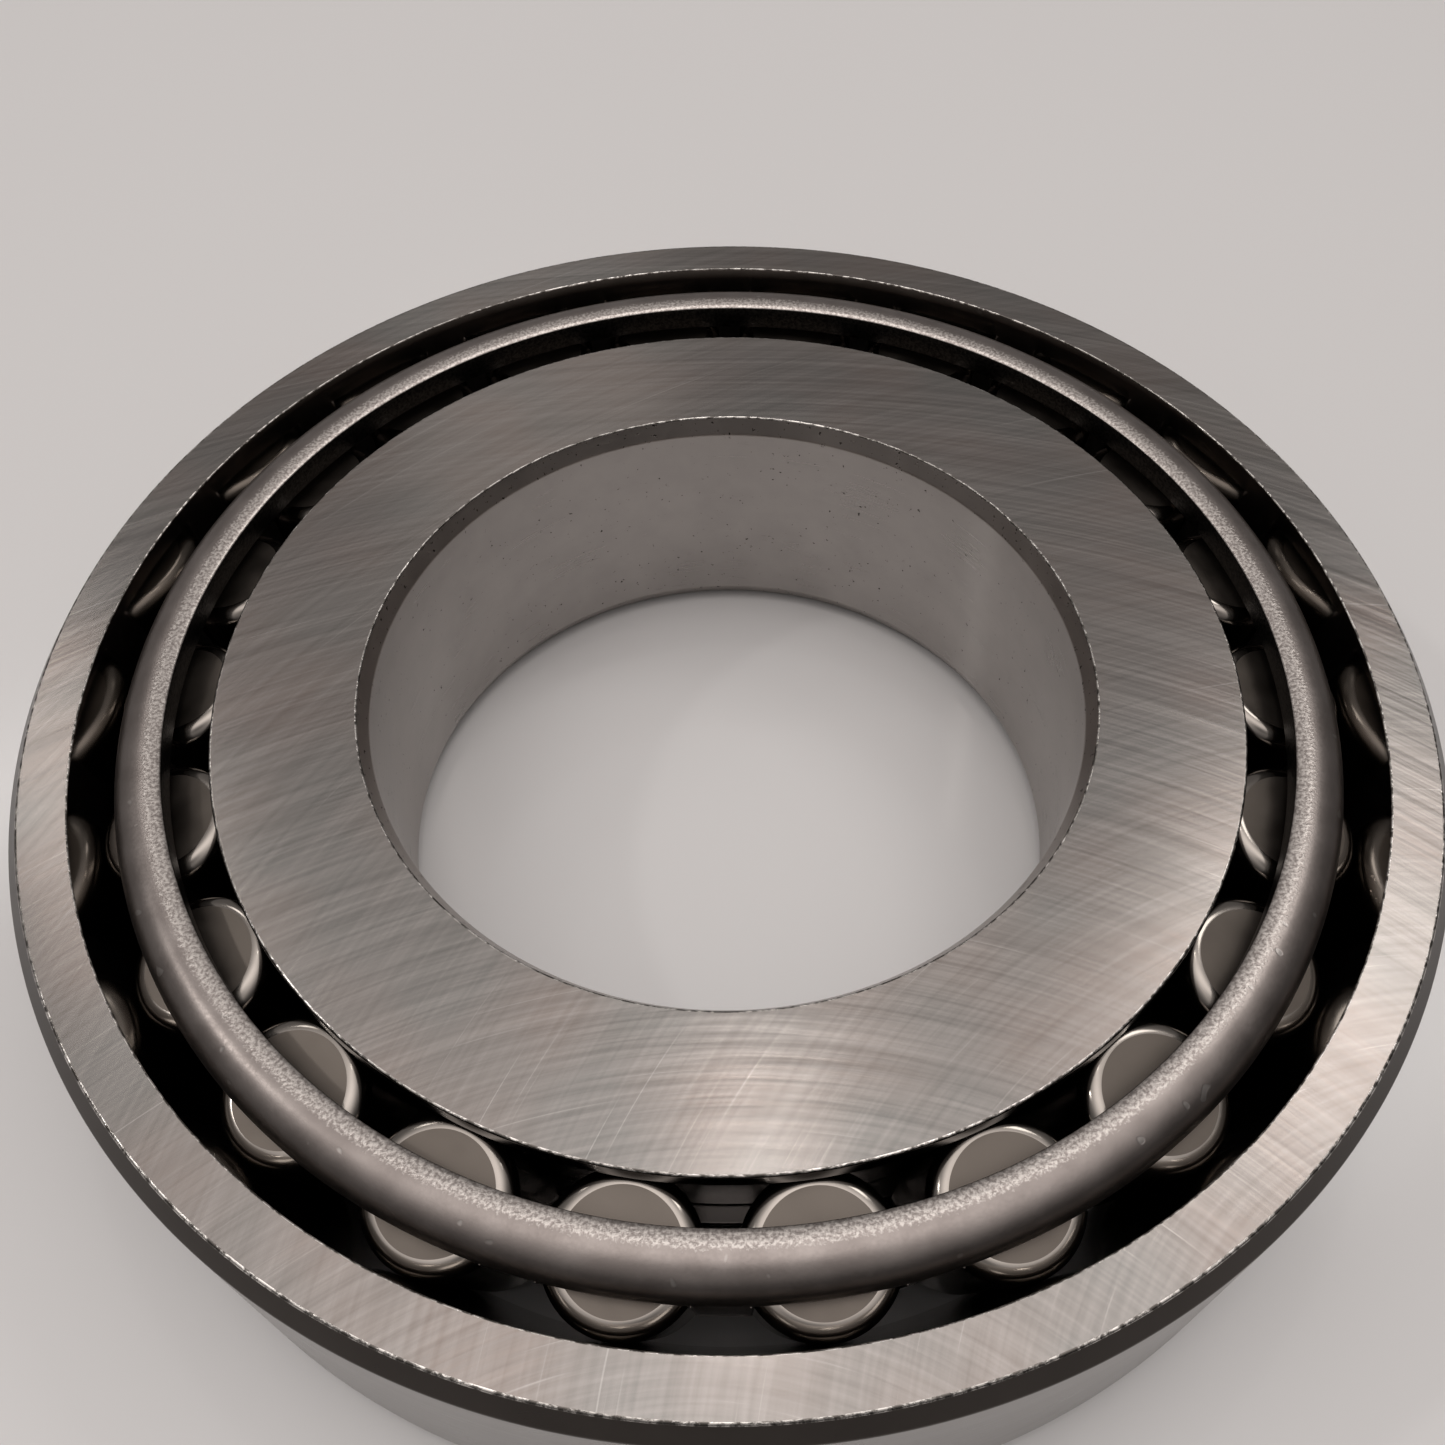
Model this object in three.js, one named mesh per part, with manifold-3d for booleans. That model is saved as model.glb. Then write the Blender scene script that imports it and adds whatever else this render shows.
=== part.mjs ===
// Single-row tapered roller bearing: 45 mm bore, 88 mm outside diameter, 19.5 mm wide.
//
// Millimetres, +Z up along the bearing's axis. The origin is the middle of the outer ring's
// back face, which is the face the bearing lies on. The rollers' big ends point up.
//
// The whole bearing is laid out from one point on the axis, the apex. The outer raceway, the
// inner raceway and the axis of every roller are lines through it, which is what lets the
// rollers roll on both rings without sliding. A place on such a line is given by the line's
// angle from the bearing's axis and by its slant, the distance from the apex.

import * as THREE from 'three';
import { mergeVertices } from 'three/addons/utils/BufferGeometryUtils.js';
import Module from 'manifold-3d';

const wasm = await Module();
wasm.setup();

// Boundary dimensions.
const boreRadius = 22.5;
const outerRadius = 44;
const outerRingWidth = 19.5;
const innerRingWidth = 19;

// Layout from the apex.
const apexDepth = 155.4;
const outerRacewayAngle = THREE.MathUtils.degToRad(12.95);
const rollerHalfAngle = THREE.MathUtils.degToRad(1.385);
const bigEndSlant = 176.4;
const rollerLength = 14.4;

// Rollers.
const rollerCount = 22;
const firstRollerAngle = THREE.MathUtils.degToRad(-82.9);
const rollerCorner = 0.8;
const rollingGap = 0.15;

// Corners and edges of the rings.
const backCorner = 2;
const frontCornerAcross = 0.85;
const frontCornerDeep = 1.2;
const racewayEdge = 0.25;
const boreCornerAcross = 0.6;
const boreCornerDeep = 1.2;

// Ribs of the inner ring, with the grinding reliefs at their feet.
const bigRibRadius = 32;
const bigRibChamfer = 0.3;
const smallRibRadius = 29.7;
const smallRibChamfer = 0.4;
const ribClearance = 0.25;
const reliefDepth = 0.25;
const reliefWidth = 0.6;

// Cage, pressed from sheet steel.
const sheet = 1.4;
const wallOutsidePitch = 2.25;
const lipInnerRadius = 34.6;
const lipTop = 20.2;
const lipThickness = 1.9;
const lipFlat = 1;
const lipBendHeight = 1.9;
const lipInsideCorner = 0.4;
const flangeBottom = 0.8;
const flangeInnerRadius = 30.8;
const flangeBendRadius = 1.9;
const pocketSideGap = 0.25;
const pocketEndGap = 0.35;

// Facets round a full turn.
const ringFacets = 88;
const rollerFacets = 16;

const rollerTilt = outerRacewayAngle - rollerHalfAngle;
const innerRacewayAngle = outerRacewayAngle - 2 * rollerHalfAngle;
const smallEndSlant = bigEndSlant - rollerLength;
const innerRingBottom = outerRingWidth - innerRingWidth;
const quarterTurn = Math.PI / 2;

const ringSteel = { color: 0x9d9a96, roughness: 0.32, metalness: 1 };
const rollerSteel = { color: 0x8d8780, roughness: 0.26, metalness: 1 };
const cageSteel = { color: 0x7f7b75, roughness: 0.42, metalness: 1 };

// Radius of a line through the apex at a height above the bearing's foot.
function radiusAt(angle, height) {
  return (apexDepth + height) * Math.tan(angle);
}

// Radius and height of a place on a line through the apex.
function placeAt(angle, slant) {
  return [slant * Math.sin(angle), slant * Math.cos(angle) - apexDepth];
}

// Points of a circular or elliptical arc, both ends included. Angles are in quarter turns from
// the outward direction.
function arc([centreRadius, centreHeight], across, up, fromQuarter, toQuarter, steps) {
  return Array.from({ length: steps + 1 }, (_, i) => {
    const turn = (fromQuarter + ((toQuarter - fromQuarter) * i) / steps) * quarterTurn;
    return [centreRadius + across * Math.cos(turn), centreHeight + up * Math.sin(turn)];
  });
}

// Turns an outline of [radius, height] points about +Z. An outline walked anticlockwise, with
// its outer side going up, gives faces that point outwards.
function revolve(outline, facets) {
  const points = outline.map(([radius, height]) => new THREE.Vector2(radius, height));
  const geometry = new THREE.LatheGeometry(points, facets);
  geometry.rotateX(quarterTurn);
  return geometry;
}

function revolveRing(outline) {
  return revolve([...outline, outline[0]], ringFacets);
}

// A closed geometry as a solid for cutting: shared corners merged, empty triangles dropped.
function toSolid(geometry) {
  const bare = geometry.clone();
  bare.deleteAttribute('normal');
  bare.deleteAttribute('uv');
  const merged = mergeVertices(bare);
  const corners = merged.index.array;
  const kept = [];
  for (let i = 0; i < corners.length; i += 3) {
    const [a, b, c] = corners.slice(i, i + 3);
    if (a !== b && b !== c && c !== a) {
      kept.push(a, b, c);
    }
  }
  const vertProperties = new Float32Array(merged.attributes.position.array);
  const triVerts = new Uint32Array(kept);
  return new wasm.Manifold(new wasm.Mesh({ numProp: 3, vertProperties, triVerts }));
}

function toGeometry(solid) {
  const mesh = solid.getMesh();
  const geometry = new THREE.BufferGeometry();
  geometry.setAttribute('position', new THREE.BufferAttribute(mesh.vertProperties, 3));
  geometry.setIndex(new THREE.BufferAttribute(mesh.triVerts, 1));
  geometry.computeVertexNormals();
  return geometry;
}

function makePiece(name, geometry, finish) {
  const piece = new THREE.Mesh(geometry, new THREE.MeshStandardMaterial(finish));
  piece.name = name;
  return piece;
}

// Outer ring: a plain cylinder outside, the conical raceway inside, opening upwards. The back
// face at the foot carries the large housing corner, and the front face a steep bevel.
function makeOuterRing() {
  const outline = [
    [radiusAt(outerRacewayAngle, 0) + racewayEdge, 0],
    ...arc([outerRadius - backCorner, backCorner], backCorner, backCorner, -1, 0, 3),
    [outerRadius, outerRingWidth - frontCornerDeep],
    [outerRadius - frontCornerAcross, outerRingWidth],
    [radiusAt(outerRacewayAngle, outerRingWidth) + racewayEdge, outerRingWidth],
    [radiusAt(outerRacewayAngle, outerRingWidth - racewayEdge), outerRingWidth - racewayEdge],
    [radiusAt(outerRacewayAngle, racewayEdge), racewayEdge],
  ];
  return makePiece('outer_ring', revolveRing(outline), ringSteel);
}

// Inner ring: a straight bore, the conical raceway outside, a low rib at the rollers' small ends
// and the guide rib at their big ends. The guide rib's underside is square to the rollers' axes.
function makeInnerRing() {
  const [bigEndRadius, bigEndHeight] = placeAt(innerRacewayAngle, bigEndSlant);
  const [smallEndRadius, smallEndHeight] = placeAt(innerRacewayAngle, smallEndSlant);
  const endSlope = Math.tan(rollerTilt);
  const guideHeight = bigEndHeight + ribClearance;
  const guideFall = (bigRibRadius - bigEndRadius) * endSlope;
  const footHeight = smallEndHeight - ribClearance;
  const footFall = (smallRibRadius - smallEndRadius) * endSlope;
  const upperReliefStart = guideHeight - reliefWidth;
  const lowerReliefEnd = footHeight + reliefWidth;
  const outline = [
    [boreRadius + boreCornerAcross, innerRingBottom],
    [smallRibRadius - smallRibChamfer, innerRingBottom],
    [smallRibRadius, innerRingBottom + smallRibChamfer],
    [smallRibRadius, footHeight - footFall],
    [radiusAt(innerRacewayAngle, footHeight) - reliefDepth, footHeight],
    [radiusAt(innerRacewayAngle, lowerReliefEnd), lowerReliefEnd],
    [radiusAt(innerRacewayAngle, upperReliefStart), upperReliefStart],
    [radiusAt(innerRacewayAngle, guideHeight) - reliefDepth, guideHeight],
    [bigRibRadius, guideHeight - guideFall],
    [bigRibRadius, outerRingWidth - bigRibChamfer],
    [bigRibRadius - bigRibChamfer, outerRingWidth],
    [boreRadius + boreCornerAcross, outerRingWidth],
    [boreRadius, outerRingWidth - boreCornerDeep],
    [boreRadius, innerRingBottom + boreCornerDeep],
  ];
  return makePiece('inner_ring', revolveRing(outline), ringSteel);
}

// A roller upright over the apex, grown by sideGap on its side and by endGap past each end. The
// growth makes the tool that opens the cage's pockets.
function makeRollerShape(sideGap, endGap, corner) {
  const bottom = smallEndSlant * Math.cos(rollerHalfAngle) - endGap;
  const top = bigEndSlant * Math.cos(rollerHalfAngle) + endGap;
  const bottomRadius = bottom * Math.tan(rollerHalfAngle) + sideGap;
  const topRadius = top * Math.tan(rollerHalfAngle) + sideGap;
  const outline = [
    [0, bottom],
    [bottomRadius - corner, bottom],
    [bottomRadius, bottom + corner],
    [topRadius, top - corner],
    [topRadius - corner, top],
    [0, top],
  ];
  return revolve(outline, rollerFacets);
}

function rollerAngle(index) {
  return firstRollerAngle + (index * 2 * Math.PI) / rollerCount;
}

// Moves a piece drawn upright over the apex to its place: leaned out by the tilt, turned round
// the bearing's axis, and lowered to the apex.
function rollerPlace(index) {
  const place = new THREE.Matrix4().makeTranslation(0, 0, -apexDepth);
  place.multiply(new THREE.Matrix4().makeRotationZ(rollerAngle(index)));
  place.multiply(new THREE.Matrix4().makeRotationY(rollerTilt));
  return place;
}

function makeRoller(index) {
  const name = `roller_${String(index + 1).padStart(2, '0')}`;
  const roller = makePiece(name, makeRollerShape(-rollingGap, 0, rollerCorner), rollerSteel);
  roller.applyMatrix4(rollerPlace(index));
  return roller;
}

// The cage before its pockets are cut: a cone of sheet that runs just outside the rollers' axes,
// bent inwards over their big ends into a lip, and inwards under their small ends into a flange.
// The press draws the wall thinner than the lip.
function makeCageBlank() {
  const lipCentre = [lipInnerRadius + lipFlat, lipTop - lipBendHeight];
  const lipBendAcross = radiusAt(rollerTilt, lipCentre[1]) + wallOutsidePitch - lipCentre[0];
  const lipUnderside = lipTop - lipThickness;
  const wallTop = lipUnderside - lipInsideCorner;
  const wallInside = radiusAt(rollerTilt, wallTop) + wallOutsidePitch - sheet;
  const flangeBendTop = flangeBottom + flangeBendRadius;
  const flangeBendCentre = [
    radiusAt(rollerTilt, flangeBendTop) + wallOutsidePitch - flangeBendRadius,
    flangeBendTop,
  ];
  const flangeInnerBend = flangeBendRadius - sheet;
  return revolveRing([
    [flangeInnerRadius, flangeBottom],
    ...arc(flangeBendCentre, flangeBendRadius, flangeBendRadius, -1, 0, 3),
    ...arc(lipCentre, lipBendAcross, lipBendHeight, 0, 1, 4),
    [lipInnerRadius, lipTop],
    [lipInnerRadius, lipUnderside],
    [wallInside - lipInsideCorner, lipUnderside],
    [wallInside, wallTop],
    ...arc(flangeBendCentre, flangeInnerBend, flangeInnerBend, 0, -1, 1),
    [flangeInnerRadius, flangeBottom + sheet],
  ]);
}

// Each pocket fits its roller all round, so the bars between pockets have hollow sides that
// follow the rollers and keep them from falling out.
function makeCage() {
  const pocketShape = makeRollerShape(pocketSideGap, pocketEndGap, 0);
  let cage = toSolid(makeCageBlank());
  for (let index = 0; index < rollerCount; index += 1) {
    cage = cage.subtract(toSolid(pocketShape.clone().applyMatrix4(rollerPlace(index))));
  }
  return makePiece('cage', toGeometry(cage), cageSteel);
}

const bearing = new THREE.Group();
bearing.name = 'tapered_roller_bearing';
bearing.add(makeOuterRing(), makeInnerRing(), makeCage());
for (let index = 0; index < rollerCount; index += 1) {
  bearing.add(makeRoller(index));
}

export default bearing;
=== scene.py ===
# %% [markdown]
# # A tapered roller bearing
#
# A tapered roller bearing is four kinds of steel piece that nest in each other: an outer ring
# with a conical raceway inside, an inner ring with a conical raceway outside, a row of tapered
# rollers between them, and a cage of pressed sheet that keeps the rollers apart.
#
# Every one of those shapes is an outline carried round an axis. So this lesson builds them all
# from outlines, as grids of points worked out with numpy, and spends its effort on the two
# things that make plain turned steel look real: small true corners, and the marks that
# grinding, tumbling and shearing leave on the metal.

# %% Load the frame
import math

import bpy
import numpy as np
from mathutils import Matrix, Vector


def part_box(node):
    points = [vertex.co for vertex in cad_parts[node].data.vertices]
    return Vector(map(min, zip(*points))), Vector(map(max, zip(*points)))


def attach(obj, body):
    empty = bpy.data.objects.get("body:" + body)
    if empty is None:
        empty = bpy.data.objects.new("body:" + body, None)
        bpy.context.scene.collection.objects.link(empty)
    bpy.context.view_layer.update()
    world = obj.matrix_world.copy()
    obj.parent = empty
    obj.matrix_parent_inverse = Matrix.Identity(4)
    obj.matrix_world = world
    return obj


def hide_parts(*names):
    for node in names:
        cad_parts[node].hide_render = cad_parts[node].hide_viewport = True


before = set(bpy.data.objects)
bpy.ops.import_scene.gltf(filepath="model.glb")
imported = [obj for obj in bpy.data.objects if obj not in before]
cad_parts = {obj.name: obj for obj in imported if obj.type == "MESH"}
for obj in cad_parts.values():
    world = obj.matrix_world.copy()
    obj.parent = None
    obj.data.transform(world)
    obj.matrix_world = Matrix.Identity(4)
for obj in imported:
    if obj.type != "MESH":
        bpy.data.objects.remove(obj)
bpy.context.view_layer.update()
print("pieces in the frame:", len(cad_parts))

# %% [markdown]
# ## Sizes
#
# The bearing is drawn in millimetres and scaled to metres at the very end of each piece. All
# its cones meet at one point on the axis, the apex, below the bearing. A place on a cone is
# given by the cone's angle from the axis and the slant, its distance from the apex. Laying the
# pieces out this way keeps the rollers touching both raceways along their whole length.

# %% Driving sizes
MM = 0.001
BORE_RADIUS = 22.5
OUTER_RADIUS = 44.0
TOP = 19.5
INNER_RING_BOTTOM = 0.5

APEX_DEPTH = 155.4
OUTER_RACEWAY = math.radians(12.95)
ROLLER_HALF_ANGLE = math.radians(1.385)
ROLLER_TILT = OUTER_RACEWAY - ROLLER_HALF_ANGLE
INNER_RACEWAY = OUTER_RACEWAY - 2 * ROLLER_HALF_ANGLE
BIG_END = 176.4
SMALL_END = 162.0

ROLLERS = 22
FIRST_ROLLER = math.radians(-82.9)


def radius_at(angle, height):
    """Radius of a line through the apex at a height: (height above the apex) x tan(angle)."""
    return (APEX_DEPTH + height) * math.tan(angle)


ring_low, ring_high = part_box("outer_ring")
print("outer ring in the frame, mm:", [round(v / MM, 2) for v in (*ring_low, *ring_high)])

# %% [markdown]
# ## Camera
#
# The camera stands close to the bearing and looks steeply down, the way a person holds a phone
# over a part on a bench. A short distance makes the near side of the rings much larger than the
# far side, so the distance matters as much as the angle. Turning the camera is done with three
# plain rotations: tilt about its own X, then a small turn about the vertical, with a very small
# lean about the line of sight first.

# %% Place the camera
EYE = Vector((0.0, -54.77, 90.07)) * MM
LOOK_DOWN = math.radians(54.33)
TURN = math.radians(0.312)
LEAN = math.radians(-1.075)
SENSOR_WIDTH = 36.0
LENS = 35.37

camera_data = bpy.data.cameras.new("bench_camera")
camera_data.sensor_width = SENSOR_WIDTH
camera_data.lens = LENS
camera_data.clip_start = 0.002
camera_data.clip_end = 20.0
camera = bpy.data.objects.new("bench_camera", camera_data)
bpy.context.scene.collection.objects.link(camera)
camera.matrix_world = (
    Matrix.Translation(EYE)
    @ Matrix.Rotation(TURN, 4, "Z")
    @ Matrix.Rotation(math.pi / 2 - LOOK_DOWN, 4, "X")
    @ Matrix.Rotation(LEAN, 4, "Z")
)
bpy.context.scene.camera = camera
print("camera height above the ring faces, mm:", round(EYE.z / MM - TOP, 1))

# %% [markdown]
# ## Floor and light
#
# Polished metal has no look of its own: it shows the room. A ring face lying flat mirrors only
# what stands beyond it, away from the camera. So the room has one wide soft glow overhead that
# fades towards the walls, and each part of a face is as bright as the part of the room it
# mirrors. A dark patch round the camera keeps the edges and bends that face it from washing out.
# Small soft lamps add the highlights. All of them face the bearing.

# %% Nodes without fuss
def add(tree, kind, inputs=None, **settings):
    """Adds a node, sets its properties, and feeds its inputs with numbers or other outputs."""
    node = tree.nodes.new(kind)
    for key, value in settings.items():
        setattr(node, key, value)
    for key, value in (inputs or {}).items():
        if isinstance(value, bpy.types.NodeSocket):
            tree.links.new(value, node.inputs[key])
        else:
            node.inputs[key].default_value = value
    return node


def calc(tree, operation, a, b=0.0, c=0.0):
    """One sum: a node that works out operation(a, b, c) and gives its result."""
    return add(tree, "ShaderNodeMath", {0: a, 1: b, 2: c}, operation=operation).outputs[0]


def hypotenuse(tree, x, y):
    """sqrt(x^2 + y^2), worked out by nodes."""
    return calc(tree, "SQRT", calc(tree, "MULTIPLY_ADD", x, x, calc(tree, "MULTIPLY", y, y)))


def join(tree, x, y, z):
    """Three numbers as one vector."""
    return add(tree, "ShaderNodeCombineXYZ", {0: x, 1: y, 2: z}).outputs[0]


def noise(tree, vector, scale=1.0, detail=2.0, roughness=0.5):
    """Smooth random values from 0 to 1 that follow a vector."""
    return add(
        tree,
        "ShaderNodeTexNoise",
        {"Vector": vector, "Scale": scale, "Detail": detail, "Roughness": roughness},
    ).outputs["Fac"]


def remap(tree, value, low, high, to_low=0.0, to_high=1.0):
    """Carries value from the range low..high to to_low..to_high, and stops at the ends."""
    return add(
        tree, "ShaderNodeMapRange", {0: value, 1: low, 2: high, 3: to_low, 4: to_high}
    ).outputs[0]


def blend_colour(tree, share, first, second):
    """Mixes two colours: share 0 gives the first, share 1 the second."""
    node = add(tree, "ShaderNodeMix", {0: share}, data_type="RGBA")
    for socket, colour in ((node.inputs[6], first), (node.inputs[7], second)):
        if isinstance(colour, bpy.types.NodeSocket):
            tree.links.new(colour, socket)
        else:
            socket.default_value = (*colour, 1.0)
    return node.outputs[2]


def new_material(name):
    """A material with its shader node, both ready for wiring."""
    material = bpy.data.materials.new(name)
    material.use_nodes = True
    tree = material.node_tree
    return material, tree, tree.nodes["Principled BSDF"]


def new_metal(name):
    """A material whose shader is bare metal."""
    material, tree, shader = new_material(name)
    shader.inputs["Metallic"].default_value = 1.0
    return material, tree, shader


def raise_surface(tree, shader, height):
    """Bends the shading as if the surface stood up by a height in millimetres."""
    bump = add(tree, "ShaderNodeBump", {"Height": height, "Distance": MM, "Strength": 1.0})
    tree.links.new(bump.outputs[0], shader.inputs["Normal"])


# %% A pale bench top
FLOOR_HALF = 1.5
FLOOR_DARK = (0.74, 0.728, 0.725)
FLOOR_LIGHT = (0.76, 0.748, 0.745)
FLOOR_ROUGHNESS = 0.16


def make_floor():
    """A flat square under the bearing, level with its foot."""
    corners = np.array([[-1, -1, 0], [1, -1, 0], [1, 1, 0], [-1, 1, 0]], float) * FLOOR_HALF
    mesh = bpy.data.meshes.new("bench_top")
    mesh.from_pydata(corners.tolist(), [], [[0, 1, 2, 3]])
    floor = bpy.data.objects.new("bench_top", mesh)
    bpy.context.scene.collection.objects.link(floor)
    material, tree, shader = new_material("pale_laminate")
    place = add(tree, "ShaderNodeTexCoord").outputs["Object"]
    cloud = noise(tree, place, scale=6.0, detail=2.0)
    colour = blend_colour(tree, cloud, FLOOR_DARK, FLOOR_LIGHT)
    tree.links.new(colour, shader.inputs["Base Color"])
    shader.inputs["Roughness"].default_value = FLOOR_ROUGHNESS
    shader.inputs["Specular IOR Level"].default_value = 0.5
    mesh.materials.append(material)


make_floor()
print("floor half width, m:", FLOOR_HALF)

# %% Room glow
GLOW_TOWARD = Vector((0.0, -0.2, 1.0)).normalized()
GLOW = 3.0
GLOW_FOCUS = 7.0
BOARD_TOWARD = EYE.normalized()
BOARD_FOCUS = 12.0
BOARD_SHARE = 0.85
WALLS = 0.15
NORTH_GAIN = 0.10
EAST_GAIN = -0.06
ROOM_COLOUR = (1.0, 0.95, 0.925, 1.0)


def make_room():
    """A room with one soft glow overhead, and a dark board round the camera.

    In a direction d the strength is walls + GLOW * exp(GLOW_FOCUS * (d . toward - 1)), where the
    walls are a little brighter beyond the bearing than on the camera's side, and on the west
    than on the east. The board takes away the share
    BOARD_SHARE * exp(BOARD_FOCUS * (d . toward the camera - 1)), so the edges and bends that
    face the camera look dark.
    """
    world = bpy.data.worlds.new("studio")
    bpy.context.scene.world = world
    world.use_nodes = True
    tree = world.node_tree
    direction = add(tree, "ShaderNodeTexCoord").outputs["Generated"]
    east, north, _ = add(tree, "ShaderNodeSeparateXYZ", {0: direction}).outputs

    def lobe(toward, focus):
        """exp(focus * (d . toward - 1)): 1 in one direction, fading all round it."""
        likeness = add(
            tree, "ShaderNodeVectorMath", {0: direction, 1: toward}, operation="DOT_PRODUCT"
        ).outputs["Value"]
        return calc(tree, "EXPONENT", calc(tree, "MULTIPLY_ADD", likeness, focus, -focus))

    glow = calc(tree, "MULTIPLY", lobe(GLOW_TOWARD, GLOW_FOCUS), GLOW)
    walls = calc(tree, "MULTIPLY_ADD", north, NORTH_GAIN, WALLS)
    walls = calc(tree, "MULTIPLY_ADD", east, EAST_GAIN, walls)
    board = calc(tree, "MULTIPLY_ADD", lobe(BOARD_TOWARD, BOARD_FOCUS), -BOARD_SHARE, 1.0)
    strength = calc(tree, "MULTIPLY", calc(tree, "ADD", glow, walls), board)
    background = tree.nodes["Background"]
    background.inputs["Color"].default_value = ROOM_COLOUR
    tree.links.new(strength, background.inputs["Strength"])


make_room()

# %% Soft panels
TARGET = Vector((0.0, 0.0, TOP * MM))
PANEL_DISTANCE = 1.0
PANEL_COLOUR = (1.0, 0.97, 0.94)


def soft_panel(name, toward, side, radiance):
    """A soft square of light that faces the bearing from a direction.

    The panel's power is radiance x pi x area, so a panel looks equally bright in a mirror
    whatever its size, and only its size changes how much light it throws.
    """
    light = bpy.data.lights.new(name, "AREA")
    light.shape = "SQUARE"
    light.size = side
    light.energy = radiance * math.pi * side * side
    light.color = PANEL_COLOUR
    panel = bpy.data.objects.new(name, light)
    bpy.context.scene.collection.objects.link(panel)
    away = Vector(toward).normalized()
    turn = away.to_track_quat("Z", "Y").to_matrix().to_4x4()
    panel.matrix_world = Matrix.Translation(TARGET + away * PANEL_DISTANCE) @ turn


soft_panel("lamp_overhead", (0.02, 0.29, 1.0), 0.035, 42.0)
soft_panel("lamp_right", (0.50, 0.45, 1.0), 0.22, 4.2)
soft_panel("lamp_left", (-0.62, 0.66, 1.0), 0.12, 4.2)
soft_panel("lamp_beyond", (-0.21, 1.14, 1.0), 0.2, 0.5)
soft_panel("lamp_side", (-0.65, 0.07, 0.75), 0.05, 70.0)

bpy.context.scene.view_settings.view_transform = "Standard"

# %% [markdown]
# ## Outlines
#
# A turned or ground ring never has a perfectly sharp edge, and the thin bright line that a
# corner catches is much of what the eye reads as metal. So an outline is given as corners with
# a fillet each, and one helper replaces every corner by an arc. It also adds a support point
# just outside each end of the arc. Without those, smooth shading would bend across the whole
# flat face beside the corner.

# %% Fillet the corners of an outline
SUPPORT = 0.03


def fillet(corners, steps=6):
    """Rounds a closed outline of (radius, height, fillet) corners.

    The arc that touches both sides of a corner starts fillet / tan(half the corner's angle)
    from it. Its points are the centre plus the fillet times a direction that turns from one
    side's normal to the other's.
    """
    points = []
    count = len(corners)
    for index, (r, h, size) in enumerate(corners):
        here = np.array([r, h])
        back = np.array(corners[index - 1][:2]) - here
        ahead = np.array(corners[(index + 1) % count][:2]) - here
        back = back / np.linalg.norm(back)
        ahead = ahead / np.linalg.norm(ahead)
        if size == 0:
            points.append(here)
            continue
        half = math.acos(np.clip(back @ ahead, -1, 1)) / 2
        reach = size / math.tan(half)
        middle = (back + ahead) / np.linalg.norm(back + ahead)
        centre = here + middle * size / math.sin(half)
        start = here + back * reach - centre
        end = here + ahead * reach - centre
        sweep = math.pi - 2 * half
        share = np.linspace(0, 1, steps + 1)[:, None]
        arc = (np.sin((1 - share) * sweep) * start + np.sin(share * sweep) * end) / math.sin(sweep)
        points.append(here + back * (reach + SUPPORT))
        points.extend(centre + arc)
        points.append(here + ahead * (reach + SUPPORT))
    return np.array(points)


# %% Carry an outline round the axis
RING_STEPS = 720


def ring_grid(outline, steps=RING_STEPS):
    """Points of an outline turned about Z: (r cos a, r sin a, h), one row per outline point."""
    angle = np.linspace(0, 2 * math.pi, steps, endpoint=False)
    r, h = outline[:, 0:1], outline[:, 1:2]
    return np.stack([r * np.cos(angle), r * np.sin(angle), h + 0 * angle], axis=-1)


def wrapped_quads(rows, columns):
    """Four-sided faces of a grid that closes on itself both ways, as four corner numbers each."""
    number = np.arange(rows * columns).reshape(rows, columns)
    right = np.roll(number, -1, axis=1)
    up = np.roll(number, -1, axis=0)
    across = np.roll(up, -1, axis=1)
    return np.stack([number, right, across, up], axis=-1).reshape(-1, 4)


def make_piece(name, points, faces, materials, finish):
    """Puts points in millimetres and faces into a mesh object in metres, shaded smooth.

    finish holds one material number for each face.
    """
    mesh = bpy.data.meshes.new(name)
    mesh.vertices.add(len(points))
    mesh.vertices.foreach_set("co", (points * MM).astype(np.float32).ravel())
    corners = np.concatenate([np.asarray(group).reshape(-1) for group in faces])
    sizes = np.concatenate([np.full(len(group), np.asarray(group).shape[1]) for group in faces])
    mesh.loops.add(len(corners))
    mesh.loops.foreach_set("vertex_index", corners.astype(np.int32))
    mesh.polygons.add(len(sizes))
    mesh.polygons.foreach_set("loop_start", (np.cumsum(sizes) - sizes).astype(np.int32))
    mesh.polygons.foreach_set("use_smooth", np.ones(len(sizes), bool))
    for material in materials:
        mesh.materials.append(material)
    mesh.polygons.foreach_set("material_index", finish.astype(np.int32))
    mesh.update(calc_edges=True)
    mesh.validate()
    piece = bpy.data.objects.new(name, mesh)
    bpy.context.scene.collection.objects.link(piece)
    return piece


def report(piece):
    """Prints how large a piece came out."""
    size = [round(v / MM, 2) for v in piece.dimensions]
    print(piece.name, "faces", len(piece.data.polygons), "size mm", size)


# %% [markdown]
# ## Ground steel
#
# The flat faces are ground on a wheel that sweeps right across the ring, so the marks are long
# shallow arcs that take no notice of the ring's own centre. A fainter set of arcs crosses them.
# On top of the even marks lie a few broader bands, where the wheel cut a little deeper, and
# some stray scratches from handling.
#
# The marks are made as stretched noise. Each point of the face is measured from a far-off
# centre: its distance from there crosses the marks and changes quickly, and its turn round
# there runs along the marks and changes slowly.

# %% Coordinates along grinding arcs
OUTER_SWEEP = (-2.4, -64.0)
INNER_SWEEP = (0.0, -68.0)


def in_millimetres(tree):
    """The place of a surface point, in millimetres."""
    place = add(tree, "ShaderNodeTexCoord").outputs["Object"]
    return add(
        tree, "ShaderNodeVectorMath", {0: place, "Scale": 1 / MM}, operation="SCALE"
    ).outputs[0]


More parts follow.
